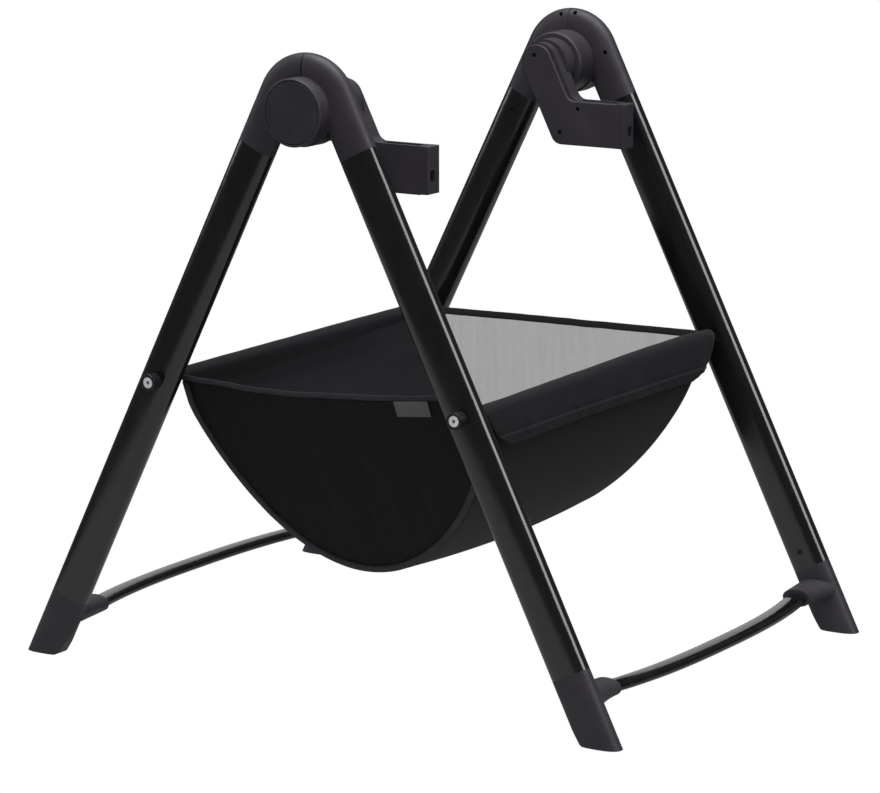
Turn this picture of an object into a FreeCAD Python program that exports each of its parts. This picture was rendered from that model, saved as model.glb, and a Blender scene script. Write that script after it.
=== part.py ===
import FreeCAD, Part
import math
import os
from FreeCAD import Rotation, Vector

# Folding bassinet stand with a fabric storage basket. Millimetres, +Z up, floor at Z = 0.
# X runs across the spread legs (front frame at +X), Y from the near A-frame to the far one.

# Main frame
HINGE_Z = 640.0            # height of the fold axis, which runs along Y above the origin
SPREAD_DEG = 26.4          # angle of each leg from vertical when open
FRAME_Y = 277.8            # distance of each A-frame's middle plane from the origin
LEG_OFFSET = 38.3          # leg centreline to fold axis
TUBE_A, TUBE_B = 22.4, 12.1  # oval leg tube, half width and half depth
TUBE_WALL = 1.5
TUBE_TOP, TUBE_END = 67.0, 653.0  # distances down the leg where the tube starts and ends
PLUG_LEN, PLUG_GAP = 42.0, 0.05
LEG_SCREWS = [(40.0, 89.0), (37.0, 633.0)]  # across and down the leg, on its inner face

# Hinge, depths measured outward from the A-frame's middle plane
DRUM_R = 36.5
DISC_R, DISC_POCKET_R = 38.0, 38.4
DISC_GAP = 0.5
COVER_SPLIT = -9.0
BEZEL_OUT, BEZEL_INNER_R, BEZEL_CHAMFER = 30.0, 33.8, 1.4
BUTTON_R, BUTTON_IN, BUTTON_OUT = 33.2, 25.0, 30.0
BUTTON_LEG_R, BUTTON_LEG_PITCH_R = 2.5, 15.0
GEAR_R, GEAR_ROOT_R, GEAR_TEETH = 22.0, 19.6, 18
GEAR_IN, GEAR_OUT = -4.0, 5.0
FRONT_POCKET_FLOOR, REAR_POCKET_FLOOR = 5.6, -10.2
HUB_FACE, HUB_WALL, HUB_ROUND = -44.5, 4.5, 2.5
BOSS_R, BOSS_END = 30.0, -64.0
AXLE_R, BORE_R, AXLE_HEAD_R, AXLE_HEAD = 6.0, 6.06, 9.0, 4.0
SPRING_R, SPRING_WIRE_R, SPRING_TURNS = 9.6, 0.7, 2.5
HOUSING_SCREWS_FRONT = [(8.0, 696.0, -8.0), (50.0, 652.2, -9.6)]  # x, z and depth of the head
HOUSING_SCREWS_REAR = [(-10.5, 693.8, -8.4), (-50.0, 652.2, -9.6)]

# Bassinet bracket
ARM_HALF, BACK_ARM_HALF = 19.7, 23.5
BRACKET_TOP, BRACKET_BOTTOM = 602.3, 551.2
BRACKET_SEAM_X, BRACKET_END_X = 104.0, 114.5
BACK_FACE, COVER_SEAM, COVER_FACE = -56.5, -75.0, -79.4
POCKET_X, POCKET_W, POCKET_FLOOR = (54.0, 101.0), (-73.0, -60.0), 557.0
WINDOW_W, WINDOW_Z = (-69.5, -61.0), (565.0, 576.5)
COVER_SCREWS = [(-5.5, 652.5), (53.1, 593.5), (29.5, 565.5)]

# Feet: planes that round the heel as (tilt, x, z), and the hood as (x, y, half width, half height)
HEEL_CUTS = [(22.0, 343.98, -0.1), (52.0, 340.68, 1.4)]
HOOD = [(336.5, -274.8, 24.0, 13.0), (334.5, -257.8, 21.0, 11.5), (334.5, -219.0, 17.2, 9.8)]
HOOD_RISE = 1.3            # the hood stands a little higher than the bar it holds

# Crossbars, basket rods and their hardware
BAR_A, BAR_B, BAR_Z = 12.5, 5.7, 46.0
BAR_END_X, BAR_BOW, BAR_POWER, BAR_HALF = 329.0, 23.7, 2.65, 240.0
BAR_REACH = 240.0
ROD_T = 364.0              # distance of the basket rods down the legs
ROD_R = 6.5
SPACER_R, SPACER_LEN = 9.3, 12.5
BOLT_R, BOLT_HEAD_R, BOLT_LEN = 3.0, 6.2, 55.0

# Basket
CLOTH = 1.6
RIM_Z, WALL_Z, BASKET_FLOOR = 331.0, 300.0, 118.0
PROFILE_POWER = 1.33       # how quickly the hanging trough narrows
HEM_REAR_Z, HEM_FRONT_Z = 332.0, 340.0  # the end panels' top edges climb to the front rod
PANEL_TOP_Y, PANEL_SLOPE = 248.0, 0.37
BINDING, BINDING_T = 6.0, 2.6
SLEEVE_GAP, INNER_Y = 0.3, 233.5
FLAP_Y, FLAP_Z, FLAP_CORNER = 256.0, 290.5, 30.0
LABEL_SIZE, LABEL_AT = (45.0, 14.0), (106.5, 323.5)

Y_AXIS = Vector(0, 1, 0)
ORIGIN = Vector(0, 0, 0)
AXIS_POINT = Vector(0, 0, HINGE_Z)
THETA = math.radians(SPREAD_DEG)
ROD_X = LEG_OFFSET * math.cos(THETA) + ROD_T * math.sin(THETA)
ROD_Z = HINGE_Z + LEG_OFFSET * math.sin(THETA) - ROD_T * math.cos(THETA)
BASKET_HALF_X = ROD_X - ROD_R - SLEEVE_GAP


# ---------- helpers ----------

def mirror_x(shape):
    return shape.mirror(ORIGIN, Vector(1, 0, 0))


def mirror_y(shape):
    return shape.mirror(ORIGIN, Y_AXIS)


def fuse_all(shapes):
    return shapes[0].multiFuse(shapes[1:]).removeSplitter()


def box(x0, x1, y0, y1, z0, z1):
    return Part.makeBox(x1 - x0, y1 - y0, z1 - z0, Vector(x0, y0, z0))


def oval_points(a, b, n=32, power=2.6):
    points = []
    for i in range(n):
        ang = 2 * math.pi * i / n
        c, s = math.cos(ang), math.sin(ang)
        points.append((math.copysign(abs(c) ** (2 / power), c) * a,
                       math.copysign(abs(s) ** (2 / power), s) * b))
    return points


def closed_curve(vectors):
    curve = Part.BSplineCurve()
    curve.interpolate(vectors, PeriodicFlag=True)
    return Part.Wire([curve.toShape()])


def oval_face(a, b, z=0.0, offset=LEG_OFFSET):
    """Oval in the leg's own frame: a along X, b along Y, at height z."""
    return Part.Face(closed_curve([Vector(offset + u, v, z) for u, v in oval_points(a, b)]))


def to_leg(shape):
    """Turn a piece drawn straight down from the fold axis onto the near front leg."""
    turned = shape.copy()
    turned.rotate(ORIGIN, Y_AXIS, -SPREAD_DEG)
    turned.translate(Vector(0, -FRAME_Y, HINGE_Z))
    return turned


def disc(radius, w0, w1):
    """Disc about the fold axis of the near side, from depth w0 out to depth w1."""
    return Part.makeCylinder(radius, w1 - w0, Vector(0, -FRAME_Y - w1, HINGE_Z), Y_AXIS)


def ring(r_out, r_in, w0, w1):
    return disc(r_out, w0, w1).cut(disc(r_in, w0 - 1, w1 + 1))


def slab(w0, w1):
    return box(-500, 500, -FRAME_Y - w1, -FRAME_Y - w0, -10, 900)


def rounded_face(corners, to_vector):
    """Flat face from (u, v, radius) corners, each corner rounded with a true arc."""
    edges, last = [], None
    count = len(corners)
    cuts = []
    for i in range(count):
        p = Vector(corners[i][0], corners[i][1], 0)
        before = (Vector(*corners[i - 1][:2], 0) - p).normalize()
        after = (Vector(*corners[(i + 1) % count][:2], 0) - p).normalize()
        half = before.getAngle(after) / 2
        reach = corners[i][2] / math.tan(half)
        middle = p + (before + after).normalize() * (corners[i][2] / math.sin(half) - corners[i][2])
        cuts.append((p + before * reach, middle, p + after * reach, corners[i][2] > 0))
    for i, (start, middle, end, is_round) in enumerate(cuts):
        if is_round:
            edges.append(Part.Arc(*[to_vector(q.x, q.y) for q in (start, middle, end)]).toShape())
        following = cuts[(i + 1) % count][0]
        if (following - end).Length > 1e-6:
            edges.append(Part.makeLine(to_vector(end.x, end.y), to_vector(following.x, following.y)))
    return Part.Face(Part.Wire(edges))


def plate(corners, w0, w1):
    """Plate parallel to the A-frame on the near side, outlined by (x, z, radius) corners."""
    face = rounded_face(corners, lambda x, z: Vector(x, -FRAME_Y - w1, z))
    return face.extrude(Vector(0, w1 - w0, 0))


def arm_point(along, across):
    """Point along the bracket arm, which runs from the fold axis parallel to the front leg."""
    return (along * math.sin(THETA) + across * math.cos(THETA),
            HINGE_Z - along * math.cos(THETA) + across * math.sin(THETA))


def screw_y(x, z, y_head, y_tip, head_r, head_t, shank_r):
    """Pan-head screw along Y with a cross-shaped recess in its head."""
    way = 1 if y_tip > y_head else -1
    head = Part.makeCylinder(head_r, head_t, Vector(x, y_head, z), Vector(0, way, 0))
    shank = Part.makeCylinder(shank_r, abs(y_tip - y_head), Vector(x, y_head, z), Vector(0, way, 0))
    slot = head_r * 0.62
    depth = head_t * 0.45
    y0, y1 = sorted((y_head - way * 0.1, y_head + way * depth))
    cross = box(x - slot, x + slot, y0, y1, z - 0.35, z + 0.35).fuse(
        box(x - 0.35, x + 0.35, y0, y1, z - slot, z + slot))
    return head.fuse(shank).cut(cross).removeSplitter()


# ---------- legs and feet ----------

def leg_tube():
    outer = oval_face(TUBE_A, TUBE_B, -TUBE_END)
    inner = oval_face(TUBE_A - TUBE_WALL, TUBE_B - TUBE_WALL, -TUBE_END)
    tube = outer.cut(inner).extrude(Vector(0, 0, TUBE_END - TUBE_TOP))
    bolt_hole = Part.makeCylinder(BOLT_R + 0.1, 60, Vector(LEG_OFFSET, -30, -ROD_T), Y_AXIS)
    for n, t in LEG_SCREWS:
        tube = tube.cut(Part.makeCylinder(1.6, 20, Vector(n, 0, -t), Y_AXIS))
    return to_leg(tube.cut(bolt_hole))


def leg_screws():
    """Two screws through the tube's inner face into the hinge plug and the foot plug."""
    return Part.makeCompound([to_leg(screw_y(n, -t, TUBE_B + 1.2, 5.0, 2.9, 1.15, 1.5))
                              for n, t in LEG_SCREWS])


def plug(t0, t1):
    gap = TUBE_WALL + PLUG_GAP
    solid = oval_face(TUBE_A - gap, TUBE_B - gap, -t1).extrude(Vector(0, 0, t1 - t0))
    for n, t in LEG_SCREWS:
        solid = solid.cut(Part.makeCylinder(1.5, 20, Vector(n, 4.9, -t), Y_AXIS))
    return solid


def bar_point(y):
    x = BAR_END_X + BAR_BOW * (1 - abs(y / BAR_HALF) ** BAR_POWER)
    return Vector(x, y, BAR_Z)


def crossbar():
    """Flat oval tube that bows outward between two feet."""
    ys = [BAR_REACH * (i / 12 - 1) for i in range(25)]
    path = Part.BSplineCurve()
    path.interpolate([bar_point(y) for y in ys])
    start = bar_point(ys[0])
    along = (bar_point(ys[0] + 0.5) - start).normalize()
    side = along.cross(Vector(0, 0, 1))
    section = closed_curve([start + side * u + Vector(0, 0, v)
                            for u, v in oval_points(BAR_A, BAR_B, 24, 2.4)])
    return Part.Wire([path.toShape()]).makePipeShell([section], True, False)


def hood_section(centre_x, y, half_x, half_z):
    return closed_curve([Vector(centre_x + u, y, BAR_Z + HOOD_RISE + v)
                         for u, v in oval_points(half_x, half_z, 24, 2.2)])


def foot(bar):
    """Moulded foot: sleeve flush with the tube, plug inside it, flared hood for the crossbar."""
    sleeve = oval_face(TUBE_A, TUBE_B, -TUBE_END - 110).extrude(Vector(0, 0, 110))
    body = to_leg(sleeve.fuse(plug(TUBE_END - PLUG_LEN, TUBE_END + 1)))
    body = body.cut(box(0, 600, -400, 0, -120, 0))
    for tilt, x, z in HEEL_CUTS:
        cutter = box(-60, 0, -400, 0, -60, 0)
        cutter.rotate(ORIGIN, Y_AXIS, tilt)
        cutter.translate(Vector(x, 0, z))
        body = body.cut(cutter)
    hood = Part.makeLoft([hood_section(*section) for section in HOOD], True)
    toe = box(0, 420, -400, 0, -60, 0)
    return body.fuse(hood).cut(toe).cut(bar).removeSplitter()


# ---------- hinge ----------

def hinge_sweep():
    """Leg section carried straight up to the fold axis, then round it to the top seam."""
    straight = oval_face(TUBE_A, TUBE_B, -TUBE_TOP).extrude(Vector(0, 0, TUBE_TOP))
    bend = oval_face(TUBE_A, TUBE_B).revolve(ORIGIN, Y_AXIS, -(90 - SPREAD_DEG) + 0.35)
    return to_leg(fuse_all([straight, bend, plug(TUBE_TOP - 1, TUBE_TOP + PLUG_LEN)]))


def gear_face(root_r, tip_r, w, grow=0.0):
    """Outline of the lock gear: straight-sided teeth about the fold axis."""
    points = []
    pitch = 2 * math.pi / GEAR_TEETH
    for i in range(GEAR_TEETH):
        for r, share in ((root_r, -0.32), (tip_r, -0.16), (tip_r, 0.16), (root_r, 0.32)):
            wide = grow / r if share > 0 else -grow / r
            ang = pitch * (i + share) + wide
            points.append(Vector((r + grow) * math.cos(ang), -FRAME_Y - w,
                                 HINGE_Z + (r + grow) * math.sin(ang)))
    return Part.Face(Part.makePolygon(points + points[:1]))


def gear_prism(w0, w1, grow=0.0):
    return gear_face(GEAR_ROOT_R, GEAR_R, w1, grow).extrude(Vector(0, w1 - w0, 0))


def leg_holes(radius, w0, w1):
    """Three holes for the button's legs, round the axle."""
    holes = []
    for k in range(3):
        ang = math.radians(90 + 120 * k)
        at = Vector(BUTTON_LEG_PITCH_R * math.cos(ang), -FRAME_Y - w1,
                    HINGE_Z + BUTTON_LEG_PITCH_R * math.sin(ang))
        holes.append(Part.makeCylinder(radius, w1 - w0, at, Y_AXIS))
    return holes[0].multiFuse(holes[1:])


def screw_bore(x, z, radius, w0, w1):
    return Part.makeCylinder(radius, w1 - w0, Vector(x, -FRAME_Y - w1, z), Y_AXIS)


def housing_screws(points):
    """Screws sunk in the inner cover plate, clamping it to the main shell."""
    return Part.makeCompound([screw_y(x, z, -FRAME_Y - w, -FRAME_Y + 2.0, 2.4, 1.3, 1.3)
                              for x, z, w in points])


def split_housing(shape, screws):
    """Main shell and inner cover plate, both bored for the screws."""
    bores = []
    for x, z, w in screws:
        bores += [screw_bore(x, z, 1.3, -10.0, -1.9), screw_bore(x, z, 2.45, -14.0, w + 1.35)]
    shape = shape.cut(bores[0].multiFuse(bores[1:]))
    return shape.common(slab(COVER_SPLIT, 60)), shape.common(slab(-60, COVER_SPLIT))


def front_hinge():
    """Front half: carries the outer disc with the toothed pocket and the button's bezel."""
    shell = hinge_sweep().cut(disc(DISC_POCKET_R, -20, DISC_GAP))
    outer = disc(DISC_R, DISC_GAP, TUBE_B)
    bezel = disc(DRUM_R, TUBE_B - 1, BEZEL_OUT)
    rim = [e for e in bezel.Edges if abs(e.CenterOfMass.y + FRAME_Y + BEZEL_OUT) < 0.01]
    bezel = bezel.makeChamfer(BEZEL_CHAMFER, rim)
    shell = fuse_all([shell, outer, bezel])
    shell = shell.cut(disc(BEZEL_INNER_R, TUBE_B, 40)).cut(gear_prism(-1, FRONT_POCKET_FLOOR, 0.25))
    shell = shell.cut(disc(AXLE_R, -1, 20)).cut(leg_holes(BUTTON_LEG_R + 0.1, 0, 20))
    return split_housing(shell, HOUSING_SCREWS_FRONT)


def rear_hinge():
    """Rear half: carries the inner disc, bored to turn on the axle."""
    shell = mirror_x(hinge_sweep()).cut(disc(DISC_POCKET_R, -DISC_GAP, 40))
    shell = fuse_all([shell, disc(DISC_R, -TUBE_B, -DISC_GAP)])
    shell = shell.cut(disc(GEAR_R + 0.35, REAR_POCKET_FLOOR, 20)).cut(disc(BORE_R, -20, 0))
    return split_housing(shell, HOUSING_SCREWS_REAR)


def hub():
    """Round-edged drum that stands the bracket off the rear disc; hollow, with a boss round the axle."""
    base = -TUBE_B - 0.5
    drum = disc(DRUM_R, HUB_FACE, base)
    front = [e for e in drum.Edges if abs(e.CenterOfMass.y + FRAME_Y + HUB_FACE) < 0.01]
    drum = drum.makeFillet(HUB_ROUND, front).cut(disc(DRUM_R - 3, HUB_FACE + HUB_WALL, 0))
    boss = disc(11.0, HUB_FACE + HUB_WALL - 1, base)
    return drum.fuse(boss).removeSplitter().cut(disc(AXLE_R, -60, 0))


def axle():
    """Steel axle with a head in the bracket end and a threaded tip for the nut."""
    head = disc(AXLE_HEAD_R, HUB_FACE - AXLE_HEAD, HUB_FACE)
    return disc(AXLE_R, HUB_FACE - 1, 17.5).fuse(head).removeSplitter()


def axle_nut():
    nut = Part.makePolygon([Vector(9.5 * math.cos(math.radians(60 * k)), -FRAME_Y - 16.6,
                                   HINGE_Z + 9.5 * math.sin(math.radians(60 * k))) for k in range(7)])
    return Part.Face(nut).extrude(Vector(0, 4.4, 0)).cut(disc(AXLE_R, 0, 30))


def button():
    """Round push button whose three legs reach through the disc to the gear."""
    cap = disc(BUTTON_R, BUTTON_IN, BUTTON_OUT)
    front = [e for e in cap.Edges if abs(e.CenterOfMass.y + FRAME_Y + BUTTON_OUT) < 0.01]
    cap = cap.makeFillet(0.8, front)
    skirt = ring(BUTTON_R, BUTTON_R - 2, BUTTON_IN - 4, BUTTON_IN)
    return fuse_all([cap, skirt, leg_holes(BUTTON_LEG_R, GEAR_OUT, BUTTON_IN + 1)])


def lock_gear():
    gear = gear_prism(GEAR_IN, GEAR_OUT)
    return gear.cut(disc(BORE_R + 0.1, -20, 20)).cut(disc(12.2, GEAR_IN - 1, 1.0))


def lock_spring():
    """Coil between the rear disc's pocket floor and the gear's recess."""
    w0, w1 = REAR_POCKET_FLOOR + SPRING_WIRE_R + 0.1, 1.0 - SPRING_WIRE_R - 0.1
    count = 32
    points = []
    for i in range(count + 1):
        ang = 2 * math.pi * SPRING_TURNS * i / count
        points.append(Vector(SPRING_R * math.cos(ang), -FRAME_Y - w0 - (w1 - w0) * i / count,
                             HINGE_Z + SPRING_R * math.sin(ang)))
    path = Part.BSplineCurve()
    path.interpolate(points)
    start = path.value(path.FirstParameter)
    profile = Part.Wire([Part.makeCircle(SPRING_WIRE_R, start, path.tangent(path.FirstParameter)[0])])
    coil = Part.Wire([path.toShape()]).makePipeShell([profile], True, True)
    return coil


# ---------- bassinet bracket ----------

def arm_outline(half_left, half_right, head, top, end_x, grow=0.0):
    """Bracket outline: round head on the fold axis, arm beside the leg, then a level shelf."""
    left = -half_left
    a_top = (HINGE_Z + half_right * math.sin(THETA) - top) / math.cos(THETA)
    a_low = (HINGE_Z + left * math.sin(THETA) - BRACKET_BOTTOM + grow) / math.cos(THETA)
    width = (half_left + half_right) / 2 - 0.05
    return [(*arm_point(-head, left), width), (*arm_point(-head, half_right), width),
            (*arm_point(a_top, half_right), 13.0), (end_x, top, 0),
            (end_x, BRACKET_BOTTOM - grow, 0), (*arm_point(a_low, left), 14.0)]


def bracket_pocket():
    """Slot, open at the top, that takes the bassinet's tongue."""
    return box(*POCKET_X, -FRAME_Y - POCKET_W[1], -FRAME_Y - POCKET_W[0], POCKET_FLOOR, 650)


def bracket_back():
    """Deep moulding with a boss that seats on the hub."""
    outline = arm_outline(ARM_HALF + 0.6, BACK_ARM_HALF, 26.5, BRACKET_TOP + 0.4, BRACKET_SEAM_X, 0.6)
    body = plate(outline, COVER_SEAM, BACK_FACE)
    body = body.fuse(disc(BOSS_R, BOSS_END, HUB_FACE)).removeSplitter()
    body = body.cut(bracket_pocket()).cut(disc(AXLE_HEAD_R + 0.1, HUB_FACE - AXLE_HEAD - 0.1, 0))
    bores = [screw_bore(x, z, 1.5, -80.0, -65.9) for x, z in COVER_SCREWS]
    return body.cut(bores[0].multiFuse(bores[1:]))


def bracket_cover():
    """Cover plate with rounded edges, screwed over the back moulding."""
    outline = arm_outline(ARM_HALF, ARM_HALF, 25.6, BRACKET_TOP, BRACKET_SEAM_X)
    cover = plate(outline, COVER_FACE, COVER_SEAM)
    face_y = -FRAME_Y - COVER_FACE
    rim = [e for e in cover.Edges if all(abs(v.Y - face_y) < 0.01 for v in e.Vertexes)
           and e.CenterOfMass.x < BRACKET_SEAM_X - 0.1]
    cover = cover.makeFillet(1.2, rim)
    for x, z in COVER_SCREWS:
        cover = cover.cut(Part.makeCylinder(2.7, 3, Vector(x, face_y - 1.9, z), Y_AXIS))
        cover = cover.cut(Part.makeCylinder(1.5, 9, Vector(x, face_y - 8, z), Y_AXIS))
    return cover


def bracket_end():
    """End piece that closes the shelf, with the latch window of the pocket."""
    y0, y1 = -FRAME_Y - BACK_FACE, -FRAME_Y - COVER_FACE
    body = box(BRACKET_SEAM_X, BRACKET_END_X, y0, y1, BRACKET_BOTTOM, BRACKET_TOP)
    upright = [e for e in body.Edges if abs(e.CenterOfMass.x - BRACKET_END_X) < 0.01]
    body = body.makeFillet(1.4, upright)
    window = box(BRACKET_SEAM_X - 1, BRACKET_END_X + 1, -FRAME_Y - WINDOW_W[1], -FRAME_Y - WINDOW_W[0],
                 *WINDOW_Z)
    return body.cut(window)


def cover_screws():
    head_y = -FRAME_Y - COVER_FACE - 0.6
    return Part.makeCompound([screw_y(x, z, head_y, head_y - 12.5, 2.6, 1.2, 1.4)
                              for x, z in COVER_SCREWS])


# ---------- basket rods ----------

def rod():
    reach = FRAME_Y - TUBE_B
    tube = Part.makeCylinder(ROD_R, 2 * reach, Vector(ROD_X, -reach, ROD_Z), Y_AXIS)
    for y in (-reach - 1, reach - 24):
        tube = tube.cut(Part.makeCylinder(BOLT_R, 25, Vector(ROD_X, y, ROD_Z), Y_AXIS))
    return tube


def rod_spacers():
    """Barrels on the outer face of the legs, each counterbored for its bolt head."""
    y0 = -FRAME_Y - TUBE_B - SPACER_LEN
    barrel = Part.makeCylinder(SPACER_R, SPACER_LEN, Vector(ROD_X, y0, ROD_Z), Y_AXIS)
    outer = [e for e in barrel.Edges if abs(e.CenterOfMass.y - y0) < 0.01]
    barrel = barrel.makeFillet(0.7, outer)
    barrel = barrel.cut(Part.makeCylinder(BOLT_HEAD_R + 0.15, 2.6, Vector(ROD_X, y0 - 0.1, ROD_Z), Y_AXIS))
    barrel = barrel.cut(Part.makeCylinder(BOLT_R + 0.1, 20, Vector(ROD_X, y0, ROD_Z), Y_AXIS))
    return Part.makeCompound([barrel, mirror_y(barrel)])


def rod_bolts():
    """Socket-head bolts that pass through spacer and leg into the rod's end."""
    y0 = -FRAME_Y - TUBE_B - SPACER_LEN + 0.4
    head = Part.makeCylinder(BOLT_HEAD_R, 2.1, Vector(ROD_X, y0, ROD_Z), Y_AXIS)
    shank = Part.makeCylinder(BOLT_R - 0.02, BOLT_LEN, Vector(ROD_X, y0, ROD_Z), Y_AXIS)
    hexagon = Part.makePolygon([Vector(ROD_X + 2.3 * math.cos(math.radians(60 * k)), y0 - 0.1,
                                       ROD_Z + 2.3 * math.sin(math.radians(60 * k))) for k in range(7)])
    bolt = head.fuse(shank).removeSplitter().cut(Part.Face(hexagon).extrude(Vector(0, 1.6, 0)))
    return Part.makeCompound([bolt, mirror_y(bolt)])


# ---------- fabric basket ----------

def trough_points(inset):
    """Half of the hanging trough's cross-section, from the wall's top to the lowest point."""
    steps = 24
    raw = []
    for i in range(steps + 1):
        s = (i / steps) ** 1.25
        raw.append((BASKET_HALF_X * math.sqrt(1 - s ** PROFILE_POWER), WALL_Z - (WALL_Z - BASKET_FLOOR) * s))
    raw.append((-raw[-2][0], raw[-2][1]))
    points = [(BASKET_HALF_X - inset, WALL_Z)]
    for (x0, z0), (x, z), (x1, z1) in zip(raw, raw[1:], raw[2:]):
        length = math.hypot(x1 - x0, z1 - z0)
        points.append((x + (z1 - z0) / length * inset, z - (x1 - x0) / length * inset))
    return points


def trough(inset, top_z=WALL_Z, reach=300.0):
    """Solid of the trough's cross-section, running past both ends of the basket."""
    half = trough_points(inset)
    outline = half + [(-x, z) for x, z in reversed(half[:-1])]
    curve = Part.BSplineCurve()
    curve.interpolate([Vector(x, -reach, z) for x, z in outline])
    edges = [curve.toShape()]
    right, left = outline[0], outline[-1]
    corners = [left, (left[0], top_z), (right[0], top_z), right]
    for (xa, za), (xb, zb) in zip(corners, corners[1:]):
        if abs(xb - xa) + abs(zb - za) > 1e-6:
            edges.append(Part.makeLine(Vector(xa, -reach, za), Vector(xb, -reach, zb)))
    return Part.Face(Part.Wire(edges)).extrude(Vector(0, 2 * reach, 0))


def wedge(extra):
    """Block between the two inward-leaning end planes of the basket, grown by extra."""
    top, bottom = 345.0, 60.0
    y_top = PANEL_TOP_Y + (top - RIM_Z) * PANEL_SLOPE + extra
    y_low = PANEL_TOP_Y + (bottom - RIM_Z) * PANEL_SLOPE + extra
    outline = [(-y_low, bottom), (y_low, bottom), (y_top, top), (-y_top, top)]
    points = [Vector(-300, y, z) for y, z in outline + outline[:1]]
    return Part.Face(Part.makePolygon(points)).extrude(Vector(600, 0, 0))


def sling():
    return trough(0.0).cut(trough(CLOTH)).common(wedge(0.0))


def end_panel():
    """Near mesh panel, closing the trough between the two rod sleeves."""
    body = trough(CLOTH, HEM_FRONT_Z + 5).cut(wedge(-CLOTH)).common(wedge(0.0))
    x = BASKET_HALF_X
    outline = [(-x, 0), (x, 0), (x, HEM_FRONT_Z), (-x, HEM_REAR_Z), (-x, 0)]
    below_hem = Part.makePolygon([Vector(u, -400, z) for u, z in outline])
    return body.common(Part.Face(below_hem).extrude(Vector(0, 400, 0)))


def binding():
    """Bound seam allowance standing out round the near panel's edge."""
    body = trough(0.0).cut(trough(BINDING_T, WALL_Z + 5.0)).common(wedge(BINDING))
    return body.cut(wedge(0.05)).common(box(-300, 300, -400, 0, 0, WALL_Z - 0.5))


def sleeve():
    """Front rod sleeve: cloth over the rod, down inside to the sling and outside as a flap."""
    r_in = ROD_R + SLEEVE_GAP
    r_out = r_in + CLOTH
    y = -FLAP_Y
    length = Vector(0, 2 * FLAP_Y, 0)

    def arch(r, y0):
        return [Part.Arc(Vector(ROD_X - r, y0, ROD_Z), Vector(ROD_X, y0, ROD_Z + r),
                         Vector(ROD_X + r, y0, ROD_Z)).toShape()]
    top = Part.Face(Part.Wire(arch(r_in, y) + [
        Part.makeLine(Vector(ROD_X + r_in, y, ROD_Z), Vector(ROD_X + r_out, y, ROD_Z))]
        + arch(r_out, y) + [
        Part.makeLine(Vector(ROD_X - r_out, y, ROD_Z), Vector(ROD_X - r_in, y, ROD_Z))]))
    inner = box(BASKET_HALF_X - CLOTH, BASKET_HALF_X, -INNER_Y, INNER_Y, WALL_Z, ROD_Z)
    flap = rounded_face([(-FLAP_Y, ROD_Z, 0), (FLAP_Y, ROD_Z, 0), (FLAP_Y, FLAP_Z, FLAP_CORNER),
                         (-FLAP_Y, FLAP_Z, FLAP_CORNER)],
                        lambda v, z: Vector(ROD_X + r_in, v, z)).extrude(Vector(CLOTH, 0, 0))
    return fuse_all([top.extrude(length), inner, flap])


def label():
    """Plain sewn label on the near panel, just under its top hem."""
    width, height = LABEL_SIZE
    tag = box(-width / 2, width / 2, -0.7, 0, -height / 2, height / 2)
    tag.rotate(ORIGIN, Vector(1, 0, 0), math.degrees(math.atan(PANEL_SLOPE)))
    x, z = LABEL_AT
    y = -(PANEL_TOP_Y + (z - RIM_Z) * PANEL_SLOPE) - 0.05
    tag.translate(Vector(x, y, z))
    return tag


# ---------- assembly ----------

def both_sides(near):
    return Part.makeCompound([near, mirror_y(near)])


def build():
    nodes = {}

    def pair(name, near):
        nodes[name + "_near"] = near
        nodes[name + "_far"] = mirror_y(near)

    bar = crossbar()
    front_foot = foot(bar)
    tube = leg_tube()
    front_main, front_plate = front_hinge()
    rear_main, rear_plate = rear_hinge()
    pair("front_leg", tube)
    pair("rear_leg", mirror_x(tube))
    pair("front_foot", front_foot)
    pair("rear_foot", mirror_x(front_foot))
    pair("front_hinge_shell", front_main)
    pair("front_hinge_cover", front_plate)
    pair("rear_hinge_shell", rear_main)
    pair("rear_hinge_cover", rear_plate)
    pair("hub", hub())
    pair("axle", axle())
    pair("axle_nut", axle_nut())
    pair("button", button())
    pair("lock_gear", lock_gear())
    pair("lock_spring", lock_spring())
    pair("bracket_back", bracket_back())
    pair("bracket_cover", bracket_cover())
    pair("bracket_end", bracket_end())
    pair("end_panel", end_panel())
    pair("binding", binding())
    nodes["front_crossbar"], nodes["rear_crossbar"] = bar, mirror_x(bar)
    nodes["front_rod"], nodes["rear_rod"] = rod(), mirror_x(rod())
    nodes["front_spacers"], nodes["rear_spacers"] = rod_spacers(), mirror_x(rod_spacers())
    nodes["front_bolts"], nodes["rear_bolts"] = rod_bolts(), mirror_x(rod_bolts())
    nodes["front_sleeve"], nodes["rear_sleeve"] = sleeve(), mirror_x(sleeve())
    nodes["front_leg_screws"] = both_sides(leg_screws())
    nodes["rear_leg_screws"] = mirror_x(nodes["front_leg_screws"])
    nodes["front_housing_screws"] = both_sides(housing_screws(HOUSING_SCREWS_FRONT))
    nodes["rear_housing_screws"] = both_sides(housing_screws(HOUSING_SCREWS_REAR))
    nodes["cover_screws"] = both_sides(cover_screws())
    nodes["sling"] = sling()
    nodes["label"] = label()
    return nodes


os.makedirs("parts", exist_ok=True)
for name, shape in build().items():
    shape.exportStep("parts/" + name + ".step")
    print(name, len(shape.Solids), "solids", shape.isValid(), round(shape.Volume), "mm3")
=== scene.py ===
import math
import bpy
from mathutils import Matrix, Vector, noise


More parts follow.
